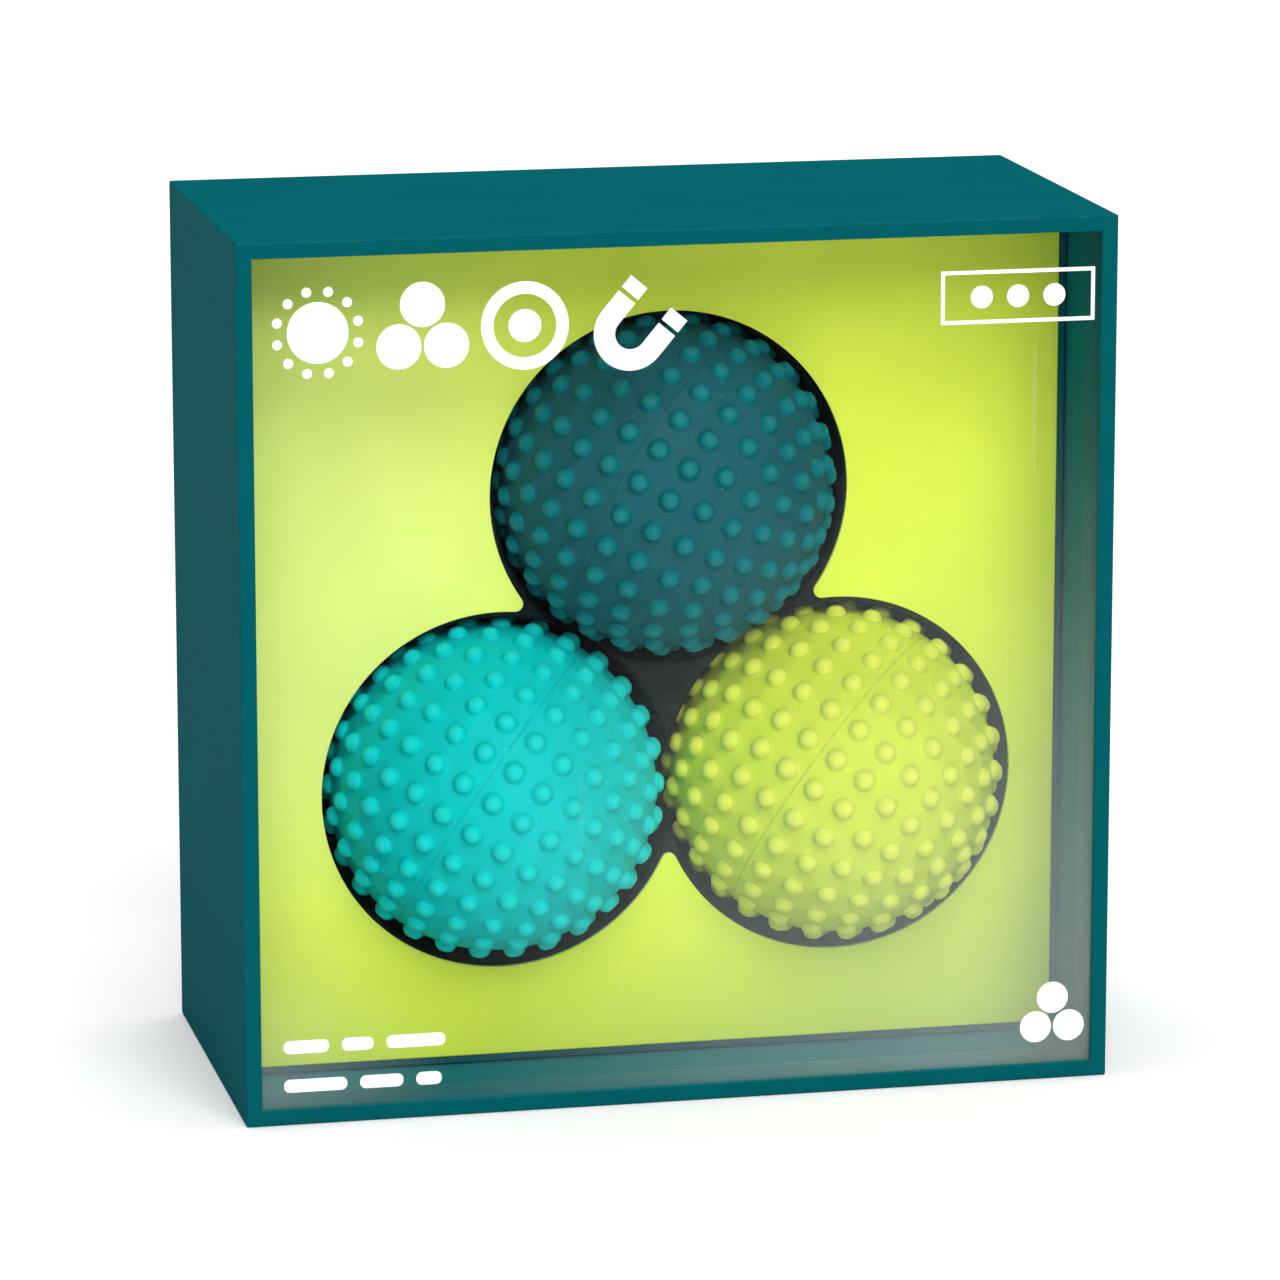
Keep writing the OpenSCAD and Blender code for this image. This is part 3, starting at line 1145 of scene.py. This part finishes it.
class MAGNET_OT_deck(bpy.types.Operator):
    """Fold the lime card and form the black blister behind it"""

    bl_idname = "magnet_balls.deck"
    bl_label = "Deck"

    def execute(self, context):
        sizes, colours = context.scene.box_sizes, context.scene.box_colours
        # The pale patch at the card's left is a painted reflection haze
        glare_place = (CARD_LOW.x, CARD_LOW.y, 0.6 * CARD_HIGH.z)
        glare = (tuple(colours.card_painted_glare), glare_place, 50 * MM)
        materials = [
            printed_sheet("lime_card", tuple(colours.card), 0.0, 0.5, glare),
            printed_sheet("lime_card_cut", tuple(colours.card_cut), 0.2, 0.75),
        ]
        card = card_bmesh(sizes)
        even_shading(piece("deck_sheet", card, "base_half", materials, ["deck_card"]))
        black = black_blister(tuple(colours.blister))
        cups = blister_bmesh(sizes)
        piece("blister_form", cups, "base_half", [black], ["blister_tray"])
        return {"FINISHED"}


class MAGNET_OT_balls(bpy.types.Operator):
    """Mould the three nubbed silicone skins"""

    bl_idname = "magnet_balls.balls"
    bl_label = "Nubbed Balls"

    def execute(self, context):
        sizes, colours = context.scene.ball_sizes, context.scene.box_colours
        for name, slot_name in BALL_SLOTS.items():
            body = tuple(getattr(colours, f"{name}_body"))
            nub = tuple(getattr(colours, f"{name}_nub"))
            material = silicone(slot_name, body, nub, BALL_CENTRES[name], sizes)
            piece(
                f"{name}_nubbed_skin",
                ball_bmesh(sizes, name),
                f"{name}_shell_body",
                [material],
                [f"{name}_ball_skin"],
                math.radians(80),
            )
        return {"FINISHED"}


class MAGNET_OT_cores(bpy.types.Operator):
    """Finish the hidden core halves and the sphere magnets"""

    bl_idname = "magnet_balls.cores"
    bl_label = "Cores and Magnets"

    def execute(self, context):
        colours = context.scene.box_colours
        plastic = moulded_plastic(tuple(colours.plastic))
        nickel = nickel_plate(tuple(colours.nickel))
        for name in BALL_TURNS:
            for part, material in (
                ("pin_half", plastic),
                ("socket_half", plastic),
                ("magnet", nickel),
            ):
                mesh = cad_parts[f"{name}_ball_{part}"].data
                mesh.materials.clear()
                mesh.materials.append(material)
        return {"FINISHED"}


class MAGNET_OT_stage(bpy.types.Operator):
    """Set the pale floor, the soft lights and the camera"""

    bl_idname = "magnet_balls.stage"
    bl_label = "Studio Stage"

    def execute(self, context):
        scene, stage = context.scene, context.scene.stage_settings
        bm = bmesh.new()
        bmesh.ops.create_circle(bm, cap_ends=True, segments=96, radius=FLOOR_RADIUS)
        mesh = bpy.data.meshes.new("studio_floor")
        bm.to_mesh(mesh)
        bm.free()
        mesh.materials.append(studio_floor(tuple(scene.box_colours.floor)))
        ground = bpy.data.objects.new("studio_floor", mesh)
        scene.collection.objects.link(ground)
        scene.world = scene.world or bpy.data.worlds.new("studio")
        scene.world.use_nodes = True
        sky = scene.world.node_tree.nodes["Background"]
        sky.inputs["Color"].default_value = (1.0, 1.0, 1.0, 1.0)
        sky.inputs["Strength"].default_value = stage.sky
        scene.view_settings.view_transform = "Standard"
        soft_light("front_light", FRONT_LIGHT_FROM, stage.key_spread, stage.key)
        soft_light("top_light", TOP_LIGHT_FROM, stage.overhead_spread, stage.overhead)
        scene.camera = aimed_camera(stage)
        return {"FINISHED"}


def soft_light(name, place, spread, strength):
    """A wide, far light that shines from a place towards the middle of the world."""
    data = bpy.data.lights.new(name, "SUN")
    data.angle = spread
    data.energy = strength
    lamp = bpy.data.objects.new(name, data)
    lamp.location = place
    lamp.rotation_euler = (-Vector(place)).to_track_quat("-Z", "Y").to_euler()
    bpy.context.scene.collection.objects.link(lamp)


def aimed_camera(stage):
    """The camera, aimed a little to one side of the box's middle to frame it."""
    flat = math.cos(stage.elevation)
    back = Vector(
        (
            math.sin(stage.azimuth) * flat,
            -math.cos(stage.azimuth) * flat,
            math.sin(stage.elevation),
        )
    )
    right = Vector((-back.y, back.x, 0)).normalized()
    up = back.cross(right)
    target = BOX_CENTRE + right * stage.aim_right - up * stage.aim_down
    data = bpy.data.cameras.new("studio_camera")
    data.lens = stage.lens
    camera = bpy.data.objects.new("studio_camera", data)
    camera.location = BOX_CENTRE + back * stage.distance
    camera.rotation_euler = (target - camera.location).to_track_quat("-Z", "Y").to_euler()
    bpy.context.scene.collection.objects.link(camera)
    return camera


# ---- Panel and registration ----


class MAGNET_PT_panel(bpy.types.Panel):
    """Lists the steps and the sizes"""

    bl_idname = "MAGNET_PT_panel"
    bl_label = "Magnet Balls"
    bl_space_type = "VIEW_3D"
    bl_region_type = "UI"
    bl_category = "Magnet Balls"

    def draw(self, context):
        for operator in OPERATORS:
            self.layout.operator(operator.bl_idname)
        for holder, group in SETTINGS.items():
            box = self.layout.box()
            for key in group.__annotations__:
                box.prop(getattr(context.scene, holder), key)


SETTINGS = {
    "box_sizes": BoxSizes,
    "ball_sizes": BallSizes,
    "box_colours": Colours,
    "stage_settings": StageSettings,
}
OPERATORS = (
    MAGNET_OT_display_box,
    MAGNET_OT_window,
    MAGNET_OT_deck,
    MAGNET_OT_balls,
    MAGNET_OT_cores,
    MAGNET_OT_stage,
)
CLASSES = (*SETTINGS.values(), *OPERATORS, MAGNET_PT_panel)


def register():
    """Registers the classes and hangs the settings on the scene."""
    for cls in CLASSES:
        bpy.utils.register_class(cls)
    for holder, group in SETTINGS.items():
        setattr(bpy.types.Scene, holder, PointerProperty(type=group))


def unregister():
    """Takes the settings and classes away again."""
    for holder in SETTINGS:
        delattr(bpy.types.Scene, holder)
    for cls in reversed(CLASSES):
        bpy.utils.unregister_class(cls)


def main():
    """Builds everything in order."""
    register()
    bpy.ops.magnet_balls.display_box()
    bpy.ops.magnet_balls.window()
    bpy.ops.magnet_balls.deck()
    bpy.ops.magnet_balls.balls()
    bpy.ops.magnet_balls.cores()
    bpy.ops.magnet_balls.stage()


if __name__ == "__main__":
    main()
